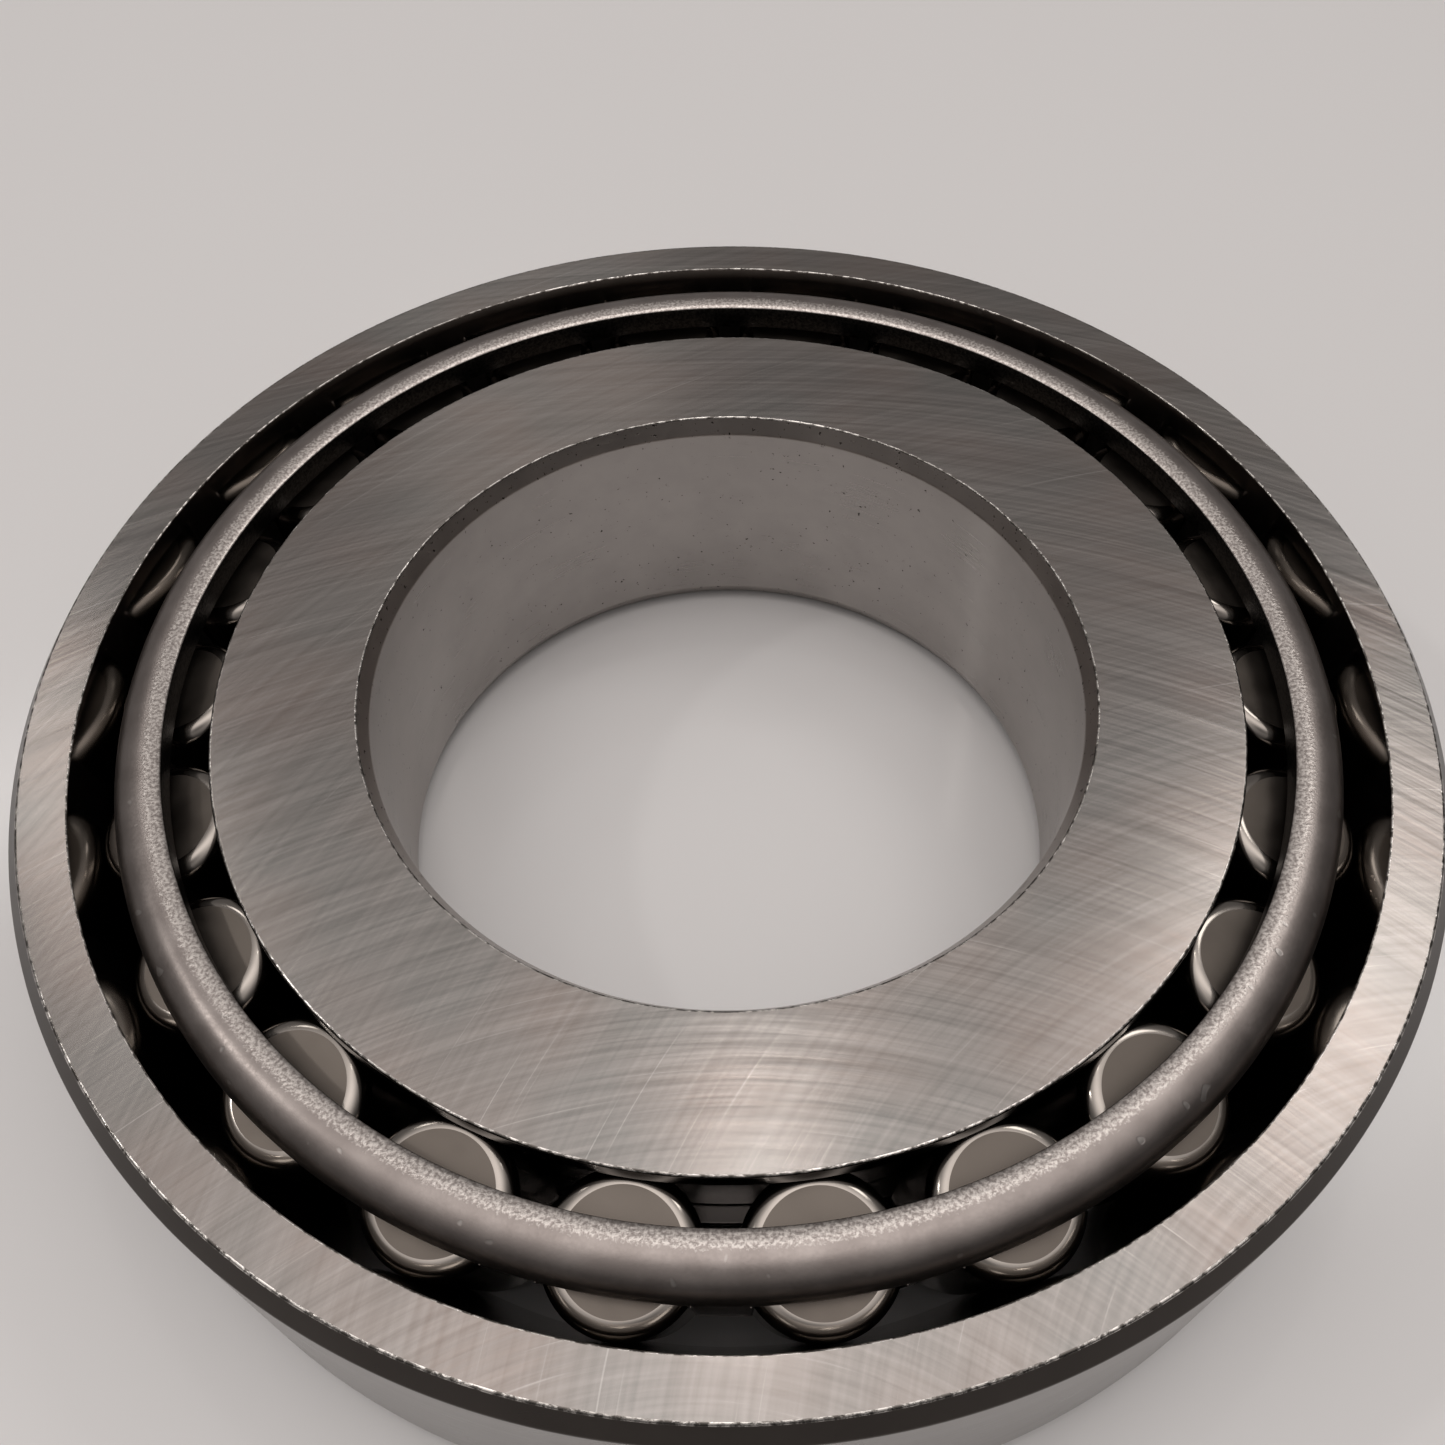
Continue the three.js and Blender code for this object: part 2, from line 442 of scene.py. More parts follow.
def sweep_coordinates(tree, centre):
    """(across, along) in millimetres for arcs about a centre.

    across is the distance from the centre; along is the turn round it times the centre's own
    distance from the axis.
    """
    x, y, _ = add(tree, "ShaderNodeSeparateXYZ", {0: in_millimetres(tree)}).outputs
    dx = calc(tree, "SUBTRACT", x, centre[0])
    dy = calc(tree, "SUBTRACT", y, centre[1])
    turn = calc(tree, "ARCTAN2", dx, dy)
    return hypotenuse(tree, dx, dy), calc(tree, "MULTIPLY", turn, math.hypot(*centre))


def streaks(tree, across, along, fineness, length, seed, detail):
    """Noise stretched along the marks: fineness marks per millimetre, each about length long."""
    vector = join(
        tree,
        calc(tree, "MULTIPLY", across, fineness),
        calc(tree, "MULTIPLY", along, 1 / length),
        seed,
    )
    return noise(tree, vector, detail=detail)


# %% Scratches and the lay of the marks
def scratches(tree, across, along, length, seed):
    """A few long hair-thin lines: 1 at the peaks of strongly stretched noise, 0 elsewhere."""
    return remap(tree, streaks(tree, across, along, 5.0, length, seed, 1.0), 0.70, 0.80)


def lay_of_marks(tree, centre):
    """The direction square to the marks, for the shader's tangent: away from the arcs' centre."""
    middle = (centre[0] * MM, centre[1] * MM, 0.0)
    place = add(tree, "ShaderNodeTexCoord").outputs["Object"]
    away = add(tree, "ShaderNodeVectorMath", {0: place, 1: middle}, operation="SUBTRACT")
    flat = add(
        tree,
        "ShaderNodeVectorMath",
        {0: away.outputs[0], 1: (1.0, 1.0, 0.0)},
        operation="MULTIPLY",
    )
    return add(
        tree,
        "ShaderNodeVectorTransform",
        {0: flat.outputs[0]},
        vector_type="VECTOR",
        convert_from="OBJECT",
        convert_to="WORLD",
    ).outputs[0]


# %% The face material
FACE_TINT = np.array([0.222, 0.206, 0.197])
WARM = np.array([1.06, 0.985, 0.94])
COOL = np.array([0.93, 0.965, 0.955])
STREAK_GAIN = 1.5
SCRATCH_COLOUR = (0.52, 0.5, 0.48)
CROSSING = (40.0, 15.0)


def face_steel(name, centre, seed):
    """Ground faces: bands, marks and scratches, in height, roughness and colour.

    The bands, the stronger marks and some of the scratches follow arcs about the centre. The
    fainter marks and the other scratches follow arcs about a second centre, which lies
    CROSSING away from it. A different seed gives different marks.
    """
    material, tree, shader = new_metal(name)
    across, along = sweep_coordinates(tree, centre)
    second = (centre[0] + CROSSING[0], centre[1] + CROSSING[1])
    crossed, along_too = sweep_coordinates(tree, second)
    bands = streaks(tree, across, along, 0.6, 40.0, seed + 1.0, 3.0)
    marks = streaks(tree, across, along, 3.6, 22.0, seed + 2.0, 4.0)
    cross_marks = streaks(tree, crossed, along_too, 2.5, 18.0, seed + 3.0, 3.0)
    scratch = scratches(tree, across, along, 26.0, seed + 4.0)
    cross_scratch = scratches(tree, crossed, along_too, 20.0, seed + 5.0)
    scratch = calc(tree, "MAXIMUM", scratch, cross_scratch)
    height = calc(tree, "MULTIPLY", bands, 0.045)
    height = calc(tree, "MULTIPLY_ADD", marks, 0.0032, height)
    height = calc(tree, "MULTIPLY_ADD", cross_marks, 0.0018, height)
    raise_surface(tree, shader, height)
    rough = remap(tree, calc(tree, "ADD", bands, marks), 0.6, 1.4, 0.19, 0.28)
    tree.links.new(rough, shader.inputs["Roughness"])
    cloud = noise(tree, in_millimetres(tree), scale=0.12, detail=1.0)
    patches = remap(tree, cloud, 0.35, 0.65)
    shade = blend_colour(tree, patches, FACE_TINT * COOL, FACE_TINT * WARM)
    streak_share = remap(tree, calc(tree, "ADD", marks, cross_marks), 0.7, 1.3, 0.0, 0.6)
    shade = blend_colour(tree, streak_share, shade, FACE_TINT * STREAK_GAIN)
    shade = blend_colour(tree, calc(tree, "MULTIPLY", scratch, 0.3), shade, SCRATCH_COLOUR)
    tree.links.new(shade, shader.inputs["Base Color"])
    shader.inputs["Anisotropic"].default_value = 0.6
    tree.links.new(lay_of_marks(tree, centre), shader.inputs["Tangent"])
    return material


# %% [markdown]
# ## Turned and honed steel
#
# The bore, the outside wall and the raceways are ground with the ring spinning, so their marks
# run round the axis. The raceways are honed as well, almost to a mirror. The corners are only
# turned before hardening, and keep a rougher skin with small pits. The bevel round the outer
# ring's top is given the darkest tint of them, painted shade for the dark room that it mirrors.

# %% Coordinates round the axis
def round_coordinates(tree):
    """(level, direction east, direction north) for marks that run round the axis.

    level is height + 1.7 x radius, so it changes across a mark on a wall and on a corner.
    """
    x, y, z = add(tree, "ShaderNodeSeparateXYZ", {0: in_millimetres(tree)}).outputs
    radius = hypotenuse(tree, x, y)
    level = calc(tree, "MULTIPLY_ADD", radius, 1.7, z)
    return level, calc(tree, "DIVIDE", x, radius), calc(tree, "DIVIDE", y, radius)


PIT_COLOUR = (0.05, 0.042, 0.038)


def round_steel(name, tint, rough, mark_height, fineness, pits=0.0, upright=0.0):
    """Steel with marks round the axis.

    pits, from 0 to 1, sets how many dark specks it has. upright, from 0 to 1, draws highlights
    out along the axis, square to the marks.
    """
    material, tree, shader = new_metal(name)
    level, east, north = round_coordinates(tree)
    fine = noise(tree, join(tree, calc(tree, "MULTIPLY", level, fineness), east, north))
    cloud = noise(tree, in_millimetres(tree), scale=0.25, detail=3.0)
    speck = noise(tree, in_millimetres(tree), scale=2.6, detail=3.0, roughness=0.6)
    spot = remap(tree, speck, 0.80 - 0.16 * pits, 0.84 - 0.16 * pits)
    height = calc(tree, "MULTIPLY", fine, mark_height)
    height = calc(tree, "MULTIPLY_ADD", spot, -0.01, height)
    raise_surface(tree, shader, height)
    dark = tuple(v * 0.86 for v in tint)
    shade = blend_colour(tree, remap(tree, cloud, 0.3, 0.7), dark, tint)
    shade = blend_colour(tree, spot, shade, PIT_COLOUR)
    tree.links.new(shade, shader.inputs["Base Color"])
    spread = remap(tree, calc(tree, "ADD", fine, cloud), 0.6, 1.4, rough * 0.85, rough * 1.2)
    tree.links.new(spread, shader.inputs["Roughness"])
    shader.inputs["Anisotropic"].default_value = upright
    tree.links.new(join(tree, 0.0, 0.0, 1.0), shader.inputs["Tangent"])
    return material


# %% Nicked edges, with a painted highlight
EDGE_DARK = (0.12, 0.11, 0.10)
# EDGE_PAINTED_HIGHLIGHT is a painted highlight: the glint that a thin edge catches, painted into
# its colour.
EDGE_PAINTED_HIGHLIGHT = (0.86, 0.82, 0.78)


def nicked_edge_painted_highlight():
    """A thin edge: nicked in some stretches, with a painted highlight in the others."""
    material, tree, shader = new_metal("nicked_edge_painted_highlight")
    place = in_millimetres(tree)
    nicks_and_highlights = remap(tree, noise(tree, place, scale=1.7, detail=3.0, roughness=0.6), 0.42, 0.58)
    stretch = remap(tree, noise(tree, place, scale=0.09, detail=1.0), 0.35, 0.65, 0.35, 1.0)
    # Painted highlight: where this share is high the edge is painted bright, and where it is low
    # the dark nicks show.
    painted_highlight_share = calc(tree, "MULTIPLY", nicks_and_highlights, stretch)
    shade = blend_colour(tree, painted_highlight_share, EDGE_DARK, EDGE_PAINTED_HIGHLIGHT)
    tree.links.new(shade, shader.inputs["Base Color"])
    raise_surface(tree, shader, calc(tree, "MULTIPLY", nicks_and_highlights, 0.02))
    shader.inputs["Roughness"].default_value = 0.24
    return material


# %% Materials of the rings
outer_face = face_steel("outer_face_steel", OUTER_SWEEP, seed=0.0)
inner_face = face_steel("inner_face_steel", INNER_SWEEP, seed=20.0)
wall_steel = round_steel("wall_steel", (0.30, 0.285, 0.275), 0.30, 0.0012, 9.0)
bore_steel = round_steel(
    "bore_steel", (0.42, 0.392, 0.375), 0.30, 0.0006, 6.0, pits=0.75, upright=0.85
)
raceway_steel = round_steel("raceway_steel", (0.34, 0.32, 0.30), 0.10, 0.0003, 8.0)
inner_raceway = round_steel("inner_raceway_steel", (0.11, 0.10, 0.095), 0.16, 0.0003, 8.0)
corner_steel = round_steel("corner_steel", (0.40, 0.362, 0.338), 0.32, 0.002, 5.0, pits=1.0)
# This edge material paints a highlight along the thin top edges of both rings.
edge_steel_painted_highlight = nicked_edge_painted_highlight()
# The bevel's near-black tint is painted shade: it stands for the dark surroundings on the camera's
# side that the bevel mirrors.
bevel_steel_painted_shade = round_steel("bevel_steel_painted_shade", (0.075, 0.066, 0.06), 0.30, 0.002, 5.0, pits=0.5)

# %% [markdown]
# ## Outer ring
#
# The outer ring is a plain cylinder outside and a cone inside, so its wall is thin at the top
# and thick at the foot. Its outline is walked anticlockwise, up the outside and down the
# raceway, which makes the faces point outwards. Each side of the outline gets its own finish,
# found from the direction in which the outline runs there.

# %% Build the outer ring
def outline_finish(outline, rules):
    """One material number per outline step, from the step's middle point.

    rules is a list of (number, test), and the first test that holds for (radius, height) wins.
    """
    middle = (outline + np.roll(outline, -1, axis=0)) / 2
    finish = np.zeros(len(outline), int)
    for number, test in reversed(rules):
        finish = np.where(test(middle[:, 0], middle[:, 1]), number, finish)
    return finish


def build_ring(name, outline, materials, rules):
    """A ring from its outline, with the finish of each side."""
    points = ring_grid(outline)
    quads = wrapped_quads(*points.shape[:2])
    finish = np.repeat(outline_finish(outline, rules), points.shape[1])
    return make_piece(name, points.reshape(-1, 3), [quads], materials, finish)


EDGE = 0.11
EDGE_START = 0.0005
CLOSE = 0.01
FRONT_CORNER_ACROSS = 0.85
FRONT_CORNER_DEEP = 1.2
BACK_CORNER = 2.0
race_top = radius_at(OUTER_RACEWAY, TOP)
race_foot = radius_at(OUTER_RACEWAY, 0.0)
outer_outline = fillet(
    [
        (race_foot, 0.0, 0.4),
        (OUTER_RADIUS, 0.0, BACK_CORNER),
        (OUTER_RADIUS, TOP - FRONT_CORNER_DEEP, 0.3),
        (OUTER_RADIUS - FRONT_CORNER_ACROSS, TOP, 0.2),
        (race_top, TOP, 0.1),
    ],
    steps=8,
)
outer_ring = build_ring(
    "outer_ring_steel",
    outer_outline,
    [outer_face, wall_steel, raceway_steel, bevel_steel_painted_shade, edge_steel_painted_highlight],
    [
        (4, lambda r, h: (h > TOP - EDGE) & (h < TOP - EDGE_START)),
        (0, lambda r, h: (h > TOP - EDGE) | (h < CLOSE)),
        (3, lambda r, h: (h > TOP - FRONT_CORNER_DEEP - 0.2) & (r > race_top)),
        (1, lambda r, h: r > race_top),
        (2, lambda r, h: r > 0),
    ],
)
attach(outer_ring, "outer_ring")
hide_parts("outer_ring")
report(outer_ring)

# %% [markdown]
# ## Inner ring
#
# The inner ring's outline is walked the same way. At the top stands the guide rib, whose
# underside is square to the rollers' axes and carries their big ends. A narrow groove at the
# foot of each rib lets the grinding wheel run out.

# %% Build the inner ring
RIB_RADIUS = 32.0
SMALL_RIB_RADIUS = 29.7
RIB_GAP = 0.12
GROOVE_DEPTH = 0.25
GROOVE_WIDTH = 0.6
BORE_CORNER_ACROSS = 0.6
BORE_CORNER_DEEP = 1.2
CORNER_REACH = 0.3


def on_cone(angle, slant):
    """Radius and height of the point on a cone at a slant distance from the apex."""
    return slant * math.sin(angle), slant * math.cos(angle) - APEX_DEPTH


big_r, big_h = on_cone(INNER_RACEWAY, BIG_END)
small_r, small_h = on_cone(INNER_RACEWAY, SMALL_END)
slope = math.tan(ROLLER_TILT)
guide_h = big_h + RIB_GAP
foot_h = small_h - RIB_GAP
inner_outline = fillet(
    [
        (BORE_RADIUS + BORE_CORNER_ACROSS, INNER_RING_BOTTOM, 0.15),
        (SMALL_RIB_RADIUS, INNER_RING_BOTTOM, 0.4),
        (SMALL_RIB_RADIUS, foot_h - (SMALL_RIB_RADIUS - small_r) * slope, 0.15),
        (radius_at(INNER_RACEWAY, foot_h) - GROOVE_DEPTH, foot_h, 0.1),
        (radius_at(INNER_RACEWAY, foot_h + GROOVE_WIDTH), foot_h + GROOVE_WIDTH, 0.1),
        (radius_at(INNER_RACEWAY, guide_h - GROOVE_WIDTH), guide_h - GROOVE_WIDTH, 0.1),
        (radius_at(INNER_RACEWAY, guide_h) - GROOVE_DEPTH, guide_h, 0.1),
        (RIB_RADIUS, guide_h - (RIB_RADIUS - big_r) * slope, 0.15),
        (RIB_RADIUS, TOP, 0.16),
        (BORE_RADIUS + BORE_CORNER_ACROSS, TOP, 0.12),
        (BORE_RADIUS, TOP - BORE_CORNER_DEEP, 0.6),
        (BORE_RADIUS, INNER_RING_BOTTOM + BORE_CORNER_DEEP, 0.6),
    ]
)
inner_ring = build_ring(
    "inner_ring_steel",
    inner_outline,
    [inner_face, bore_steel, inner_raceway, corner_steel, edge_steel_painted_highlight],
    [
        (4, lambda r, h: (h > TOP - EDGE) & (h < TOP - EDGE_START)),
        (0, lambda r, h: (h > TOP - CLOSE) | (h < INNER_RING_BOTTOM + CLOSE)),
        (1, lambda r, h: r < BORE_RADIUS + CLOSE),
        (3, lambda r, h: r < BORE_RADIUS + BORE_CORNER_ACROSS + CORNER_REACH),
        (3, lambda r, h: h > TOP - CORNER_REACH),
        (2, lambda r, h: r > 0),
    ],
)
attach(inner_ring, "inner_ring")
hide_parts("inner_ring")
report(inner_ring)

# %% [markdown]
# ## Rollers
#
# A roller is a slender cone with its big end up. Each one is drawn once over the apex, standing
# upright, then leaned out by the tilt of its axis and turned to its place round the ring. Its
# ends are ground flat and look satin; its side and its rounded corners are barrel-polished and
# catch the small bright lights.

# %% Roller materials
def roller_steel(name, tint, rough, mark_height, lay):
    """Polished roller steel. lay says how many marks per millimetre the grinding left."""
    material, tree, shader = new_metal(name)
    place = in_millimetres(tree)
    cloud = noise(tree, place, scale=0.35, detail=3.0)
    grain = noise(tree, place, scale=lay)
    raise_surface(tree, shader, calc(tree, "MULTIPLY", grain, mark_height))
    dark = tuple(v * 0.84 for v in tint)
    shade = blend_colour(tree, remap(tree, cloud, 0.35, 0.65), dark, tint)
    tree.links.new(shade, shader.inputs["Base Color"])
    spread = remap(tree, cloud, 0.3, 0.7, rough * 0.85, rough * 1.2)
    tree.links.new(spread, shader.inputs["Roughness"])
    return material


roller_end = roller_steel("roller_end_steel", (0.145, 0.126, 0.110), 0.40, 0.0006, 9.0)
roller_side = roller_steel("roller_side_steel", (0.30, 0.274, 0.25), 0.15, 0.0002, 6.0)

# %% Build one roller and place them all
ROLLER_STEPS = 96
ROLLER_GAP = 0.03
ROLLER_CORNER = 1.0
SMALL_END_CORNER = 0.8
POLE_RADIUS = 0.02


def roller_outline():
    """Outline of a roller over the apex, from the middle of its small end up to its big end."""
    low, high = SMALL_END * math.cos(ROLLER_HALF_ANGLE), BIG_END * math.cos(ROLLER_HALF_ANGLE)
    grow = math.tan(ROLLER_HALF_ANGLE)
    return fillet(
        [
            (POLE_RADIUS, low, 0.0),
            (low * grow - ROLLER_GAP, low, SMALL_END_CORNER),
            (high * grow - ROLLER_GAP, high, ROLLER_CORNER),
            (POLE_RADIUS, high, 0.0),
        ],
        steps=10,
    )


def roller_place(index):
    """Three by three turn of a roller: leaned about Y, then turned about Z."""
    turn = FIRST_ROLLER + index * 2 * math.pi / ROLLERS
    lean = Matrix.Rotation(turn, 3, "Z") @ Matrix.Rotation(ROLLER_TILT, 3, "Y")
    return np.array(lean)


def build_roller(index, outline):
    """One roller: its outline turned about its own axis, closed by a fan at each pole."""
    grid = ring_grid(outline, ROLLER_STEPS)
    rows, columns = grid.shape[:2]
    body = wrapped_quads(rows, columns)[: (rows - 1) * columns]
    ring = np.arange(columns)
    after = np.roll(ring, -1)
    poles = np.array([[0, 0, outline[0, 1]], [0, 0, outline[-1, 1]]])
    low_pole, high_pole = rows * columns, rows * columns + 1
    low_fan = np.stack([after, ring, np.full(columns, low_pole)], axis=-1)
    top = ring + (rows - 1) * columns
    high_fan = np.stack([top, np.roll(top, -1), np.full(columns, high_pole)], axis=-1)
    points = np.concatenate([grid.reshape(-1, 3), poles]) @ roller_place(index).T
    points[:, 2] -= APEX_DEPTH
    flat = np.abs(np.diff(outline[:, 1])) < 1e-6
    finish = np.repeat(np.where(flat, 0, 1), columns)
    finish = np.concatenate([finish, np.zeros(2 * columns, int)])
    name = f"roller_{index + 1:02d}"
    faces = [body, low_fan, high_fan]
    piece = make_piece(name + "_steel", points, faces, [roller_end, roller_side], finish)
    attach(piece, name)
    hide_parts(name)
    return piece


outline = roller_outline()
rollers = [build_roller(index, outline) for index in range(ROLLERS)]
report(rollers[0])
print("rollers:", len(rollers))

# %% [markdown]
# ## Cage
#
# The cage is one cup of sheet steel. A press bends its rim inwards into a rounded lip over the
# rollers' big ends and punches a pocket for each roller, so what is left between pockets is a
# row of narrow bars. The sides of the bars are coined to the rollers' own radius.
#
# Cutting holes in a finished mesh leaves untidy faces, so the holes are designed into the grid.
# The columns of the grid are shifted, row by row, until one column lies exactly on each side of
# every pocket. The faces inside a pocket are then left out, and a strip of faces joins the
# outer skin to the inner skin all round it.

# %% Cage sizes
SHEET = 1.4
WALL_OUT = 2.25
LIP_INNER = 34.6
LIP_TOP = 20.2
LIP_THICKNESS = 1.9
LIP_FLAT = 1.0
LIP_BEND_HEIGHT = 1.9
LIP_INSIDE_CORNER = 0.4
LIP_EDGE_ACROSS = 0.3
LIP_EDGE_DEEP = 0.12
FLANGE_BOTTOM = 0.8
FLANGE_INNER = 30.8
FLANGE_BEND = 1.9
POCKET_SIDE_GAP = 0.2
POCKET_END_GAP = 0.3

sin_t, cos_t = math.sin(ROLLER_TILT), math.cos(ROLLER_TILT)


def arc(centre, across, up, start, end, steps):
    """Points of an elliptical arc; start and end are in degrees from the outward direction."""
    turn = np.radians(np.linspace(start, end, steps + 1))
    return np.stack([centre[0] + across * np.cos(turn), centre[1] + up * np.sin(turn)], axis=-1)


def wall_point(offset, reach):
    """A point of the wall: reach along the rollers' axis from the apex, offset square to it."""
    return np.array([reach * sin_t + offset * cos_t, reach * cos_t - offset * sin_t - APEX_DEPTH])


lip_base = LIP_TOP - LIP_BEND_HEIGHT
lip_centre = (LIP_INNER + LIP_FLAT, lip_base)
lip_across = radius_at(ROLLER_TILT, lip_base) + WALL_OUT - lip_centre[0]
lip_underside = LIP_TOP - LIP_THICKNESS
wall_top = lip_underside - LIP_INSIDE_CORNER
wall_inside = radius_at(ROLLER_TILT, wall_top) + WALL_OUT - SHEET
flange_top = FLANGE_BOTTOM + FLANGE_BEND
flange_centre = (radius_at(ROLLER_TILT, flange_top) + WALL_OUT - FLANGE_BEND, flange_top)
OFFSET_OUT = WALL_OUT * cos_t
OFFSET_IN = OFFSET_OUT - SHEET
POCKET_LOW = SMALL_END * math.cos(ROLLER_HALF_ANGLE) - POCKET_END_GAP
POCKET_HIGH = BIG_END * math.cos(ROLLER_HALF_ANGLE) + POCKET_END_GAP
print("pocket length, mm:", round(POCKET_HIGH - POCKET_LOW, 2))

# %% Cage outline, with the same rows on both skins
POCKET_ROWS = 24
LIP_STEPS = 20
BEND_STEPS = 8

pocket_reach = np.linspace(POCKET_LOW, POCKET_HIGH, POCKET_ROWS + 1)
outer_wall = np.array([wall_point(OFFSET_OUT, reach) for reach in pocket_reach])
inner_wall = np.array([wall_point(OFFSET_IN, reach) for reach in pocket_reach])
outer_lip = arc(lip_centre, lip_across, LIP_BEND_HEIGHT, 0, 90, LIP_STEPS)
lip_edge = np.array(
    [
        [LIP_INNER + LIP_EDGE_ACROSS, LIP_TOP],
        [LIP_INNER, LIP_TOP - LIP_EDGE_DEEP],
        [LIP_INNER, lip_underside],
    ]
)
inside_corner = (wall_inside - LIP_INSIDE_CORNER, wall_top)
inner_lip = arc(inside_corner, LIP_INSIDE_CORNER, LIP_INSIDE_CORNER, 90, 0, BEND_STEPS)
outer_bend = arc(flange_centre, FLANGE_BEND, FLANGE_BEND, -90, 0, BEND_STEPS)
inner_bend = arc(flange_centre, FLANGE_BEND - SHEET, FLANGE_BEND - SHEET, 0, -90, BEND_STEPS)
flange_foot = np.array([[FLANGE_INNER, FLANGE_BOTTOM]])
flange_head = np.array([[FLANGE_INNER, FLANGE_BOTTOM + SHEET]])
sections = [
    flange_foot,
    outer_bend,
    outer_wall,
    outer_lip,
    lip_edge,
    inner_lip,
    inner_wall[::-1],
    inner_bend,
    flange_head,
]
cage_outline = np.concatenate(sections)
starts = np.cumsum([0] + [len(section) for section in sections])
outer_first = starts[2]
lip_end = starts[4] + 1
inner_first = starts[6]
print("cage outline points:", len(cage_outline))

# %% Cage grid, shifted onto the pockets' sides
BAR_COLUMNS = 6
POCKET_COLUMNS = 12
PITCH_COLUMNS = BAR_COLUMNS + POCKET_COLUMNS


def half_pocket(reach, offset):
    """Half the angle that a pocket spans on a skin of the wall.

    A roller grown by the gap is a circle of radius (reach x tan(half angle) + gap) about its
    axis. At an offset from that axis its half width is sqrt(radius^2 - offset^2), and dividing
    by the skin's distance from the bearing's axis turns it into an angle.
    """
    radius = reach * math.tan(ROLLER_HALF_ANGLE) + POCKET_SIDE_GAP
    width = np.sqrt(radius**2 - offset**2)
    return np.arctan2(width, reach * sin_t + offset * cos_t)


middle_reach = (POCKET_LOW + POCKET_HIGH) / 2
sides = np.full(len(cage_outline), half_pocket(middle_reach, (OFFSET_OUT + OFFSET_IN) / 2))
sides[outer_first : outer_first + POCKET_ROWS + 1] = half_pocket(pocket_reach, OFFSET_OUT)
sides[inner_first : inner_first + POCKET_ROWS + 1] = half_pocket(pocket_reach[::-1], OFFSET_IN)

pitch = 2 * math.pi / ROLLERS
inside = np.linspace(-1, 1, POCKET_COLUMNS + 1)
outside = np.linspace(0, 1, BAR_COLUMNS + 1)[1:-1]
in_pocket = sides[:, None] * inside
in_bar = sides[:, None] + (pitch - 2 * sides[:, None]) * outside
one_pitch = np.concatenate([in_pocket, in_bar], axis=1)
turns = FIRST_ROLLER + pitch * np.arange(ROLLERS)
angles = (turns[None, :, None] + one_pitch[:, None, :]).reshape(len(cage_outline), -1)
cage_points = np.stack(
    [
        cage_outline[:, 0:1] * np.cos(angles),
        cage_outline[:, 0:1] * np.sin(angles),
        cage_outline[:, 1:2] + 0 * angles,
    ],
    axis=-1,
)
print("columns round the cage:", angles.shape[1])

# %% Leave out the pockets and line their edges
def strip(first, second):
    """Four-sided faces between two rows of point numbers."""
    return np.stack([first[:-1], first[1:], second[1:], second[:-1]], axis=-1)


def cage_faces():
    """The grid's faces without the pockets, the strips that line the pockets, and the holes."""
    rows, columns = cage_points.shape[:2]
    number = np.arange(rows * columns).reshape(rows, columns)
    quads = wrapped_quads(rows, columns).reshape(rows, columns, 4)
    row = np.arange(rows)[:, None]
    column = np.arange(columns)[None, :] % PITCH_COLUMNS
    wall_rows = (row >= outer_first) & (row < outer_first + POCKET_ROWS)
    wall_rows |= (row >= inner_first) & (row < inner_first + POCKET_ROWS)
    hole = wall_rows & (column < POCKET_COLUMNS)
    outer = number[outer_first : outer_first + POCKET_ROWS + 1]
    inner = number[inner_first : inner_first + POCKET_ROWS + 1][::-1]
    strips = []
    for index in range(ROLLERS):
        first = index * PITCH_COLUMNS
        last = first + POCKET_COLUMNS
        across = slice(first, last + 1)
        strips.append(strip(inner[:, last], outer[:, last]))
        strips.append(strip(outer[:, first], inner[:, first]))
        strips.append(strip(outer[0, across], inner[0, across]))
        strips.append(strip(inner[-1, across], outer[-1, across]))
    return quads[~hole], np.concatenate(strips), hole


kept, lining, hole = cage_faces()
print("faces kept:", len(kept), "lining faces:", len(lining))

# %% [markdown]
# ## Cage steel
#
# Pressed cages are tumbled with small stones to take the burrs off, which leaves a soft, even,
# slightly mottled grey with tiny dents. The edge where the press sheared the sheet is different.
# The cut itself is rough and is painted near black, as painted shade for the shadow on the lip's
# inner wall. The sheet beside it is stretched into a coarse grain, painted bright partly as a
# painted highlight along the lip's crown.

# %% Tumbled and sheared sheet
GRAIN_BAND = 0.95
SHEET_DARK = (0.235, 0.207, 0.194)
SHEET_LIGHT = (0.29, 0.258, 0.243)
DENT_COLOUR = (0.5, 0.48, 0.46)
# This bright colour is partly the ripped sheet's own grain and partly a painted highlight along
# the lip's crown.
GRAIN_AND_PAINTED_HIGHLIGHT_COLOUR = (0.56, 0.52, 0.49)
# The cut's near-black colours are painted shade: the lip's inner wall stands in shadow.
CUT_PAINTED_SHADE_DARK = (0.02, 0.018, 0.017)
CUT_PAINTED_SHADE_LIGHT = (0.06, 0.055, 0.051)


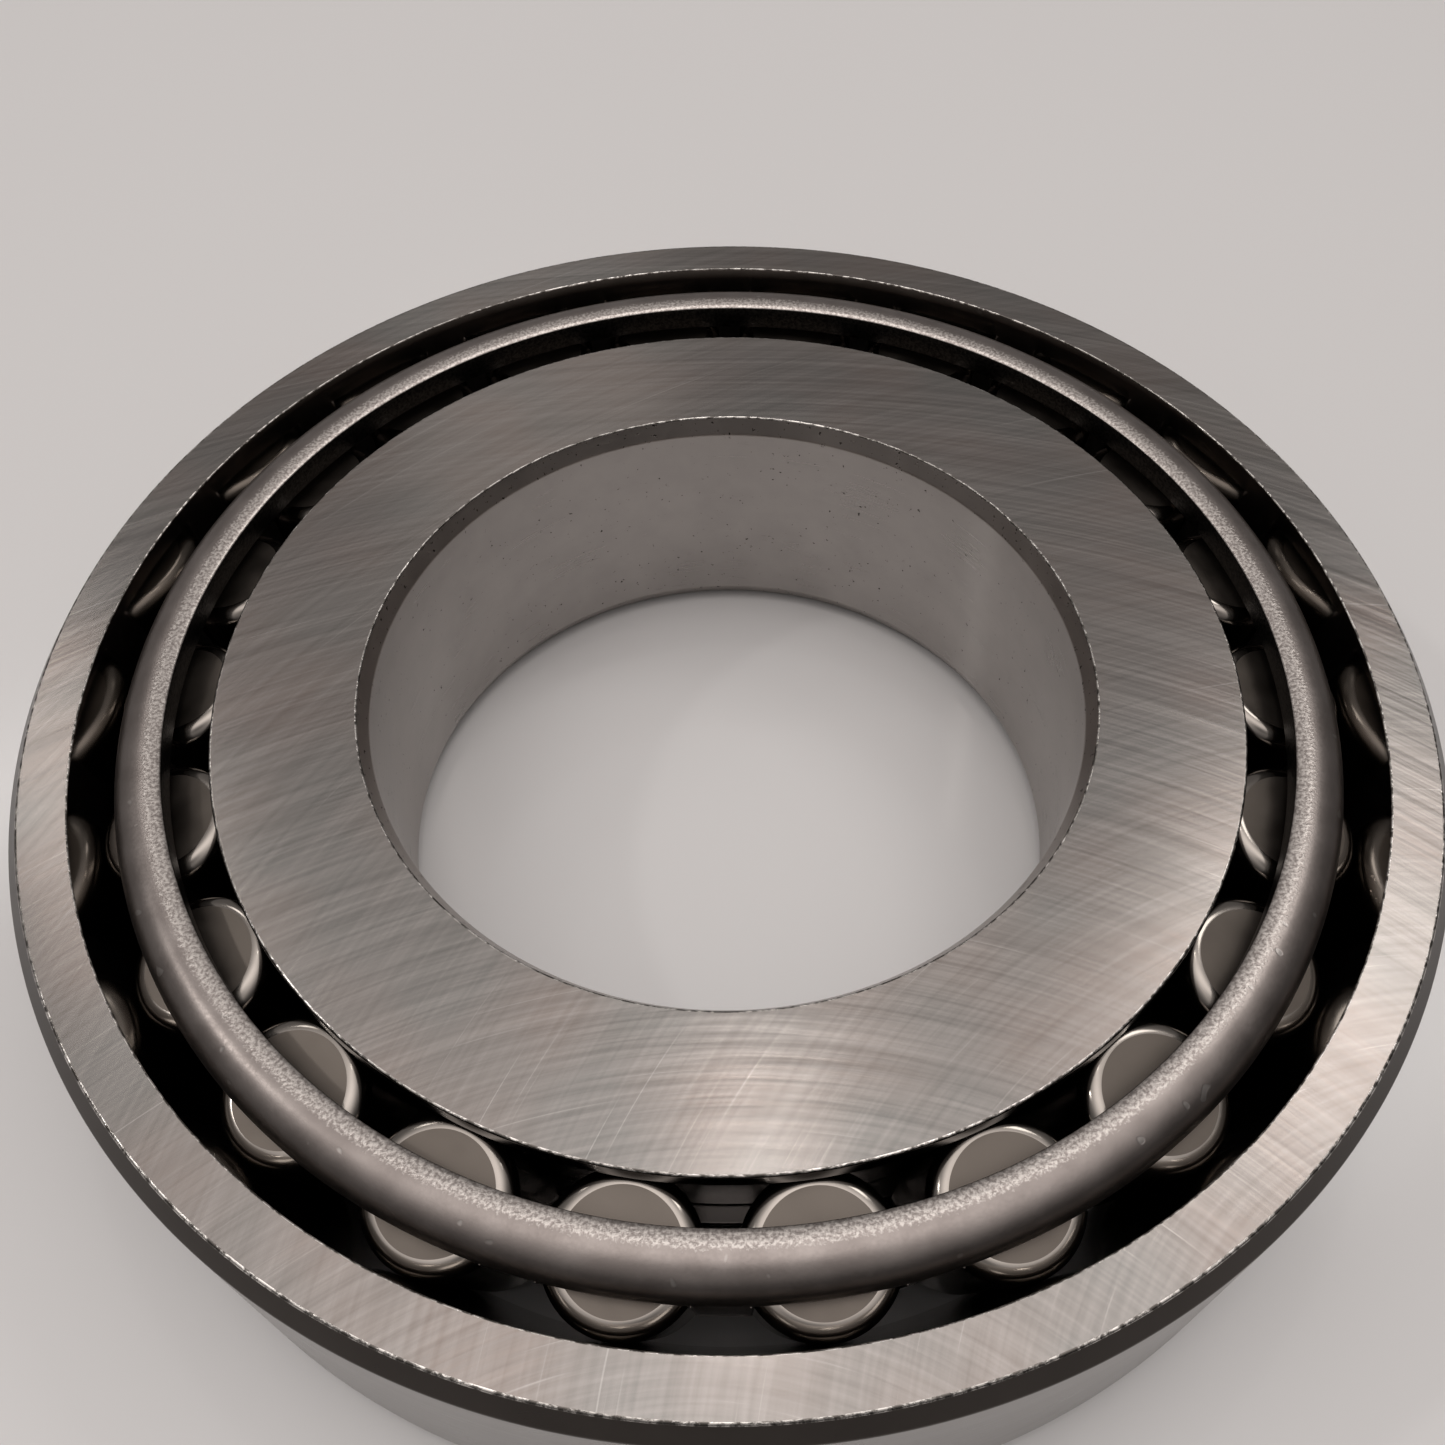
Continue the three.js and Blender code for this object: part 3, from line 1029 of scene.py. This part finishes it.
def tumbled_sheet():
    """Soft grey sheet: a fine grain from tumbling, a slow mottle and small bright dents.

    Beside the sheared edge the top of the lip is stretched and ripped into a coarse grain, as far
    as GRAIN_BAND from the edge, with a ragged limit. That band is painted bright, partly for the
    grain itself and partly as a painted highlight along the lip's crown.
    """
    material, tree, shader = new_metal("tumbled_sheet")
    place = in_millimetres(tree)
    grain = noise(tree, place, scale=5.0, detail=3.0, roughness=0.6)
    coarse = noise(tree, place, scale=5.0, detail=2.0, roughness=0.6)
    mottle = noise(tree, place, scale=0.45, detail=2.0)
    dent = remap(tree, noise(tree, place, scale=1.1, detail=0.0), 0.80, 0.84)
    x, y, z = add(tree, "ShaderNodeSeparateXYZ", {0: place}).outputs
    ragged = calc(tree, "MULTIPLY_ADD", coarse, -0.9, hypotenuse(tree, x, y))
    limit = LIP_INNER + GRAIN_BAND - 0.45
    torn_band_and_highlight = remap(tree, ragged, limit - 0.15, limit + 0.15, 1.0, 0.0)
    torn_band_and_highlight = calc(tree, "MULTIPLY", torn_band_and_highlight, remap(tree, z, LIP_TOP - 0.3, LIP_TOP - 0.1))
    height = calc(tree, "MULTIPLY", grain, 0.004)
    height = calc(tree, "MULTIPLY_ADD", mottle, 0.006, height)
    height = calc(tree, "MULTIPLY_ADD", dent, -0.008, height)
    torn_height = calc(tree, "MULTIPLY", calc(tree, "MULTIPLY", coarse, torn_band_and_highlight), 0.011)
    raise_surface(tree, shader, calc(tree, "ADD", height, torn_height))
    shade = blend_colour(tree, remap(tree, mottle, 0.35, 0.65), SHEET_DARK, SHEET_LIGHT)
    shade = blend_colour(tree, calc(tree, "MULTIPLY", dent, 0.5), shade, DENT_COLOUR)
    # Painted highlight: the band next to the lip's edge is painted bright along its crown, over
    # the real grain.
    grain_colour_and_highlight = blend_colour(tree, remap(tree, coarse, 0.4, 0.6), SHEET_LIGHT, GRAIN_AND_PAINTED_HIGHLIGHT_COLOUR)
    shade = blend_colour(tree, torn_band_and_highlight, shade, grain_colour_and_highlight)
    tree.links.new(shade, shader.inputs["Base Color"])
    tree.links.new(remap(tree, grain, 0.3, 0.7, 0.28, 0.38), shader.inputs["Roughness"])
    return material


def sheared_edge_painted_shade():
    """The cut edge of the sheet: rough and finely ragged, painted near black as painted shade."""
    material, tree, shader = new_metal("sheared_edge_painted_shade")
    grain = noise(tree, in_millimetres(tree), scale=4.5, detail=3.0, roughness=0.7)
    raise_surface(tree, shader, calc(tree, "MULTIPLY", grain, 0.05))
    shade = blend_colour(tree, remap(tree, grain, 0.4, 0.6), CUT_PAINTED_SHADE_DARK, CUT_PAINTED_SHADE_LIGHT)
    tree.links.new(shade, shader.inputs["Base Color"])
    shader.inputs["Roughness"].default_value = 0.42
    return material


# %% Build the cage, with sheared edges in painted shade at the lip's end and the flange's end
EDGE_ROUND = 0.09

step_finish = np.zeros(len(cage_outline), int)
step_finish[[lip_end, len(cage_outline) - 1]] = 1
grid_finish = np.repeat(step_finish[:, None], cage_points.shape[1], axis=1)[~hole]
finish = np.concatenate([grid_finish, np.zeros(len(lining), int)])
cage = make_piece(
    "cage_sheet",
    cage_points.reshape(-1, 3),
    [kept, lining],
    [tumbled_sheet(), sheared_edge_painted_shade()],
    finish,
)
edge_round = cage.modifiers.new("rounded_edges", "BEVEL")
edge_round.width = EDGE_ROUND * MM
edge_round.segments = 2
edge_round.limit_method = "ANGLE"
edge_round.angle_limit = math.radians(35)
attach(cage, "cage")
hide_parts("cage")
report(cage)
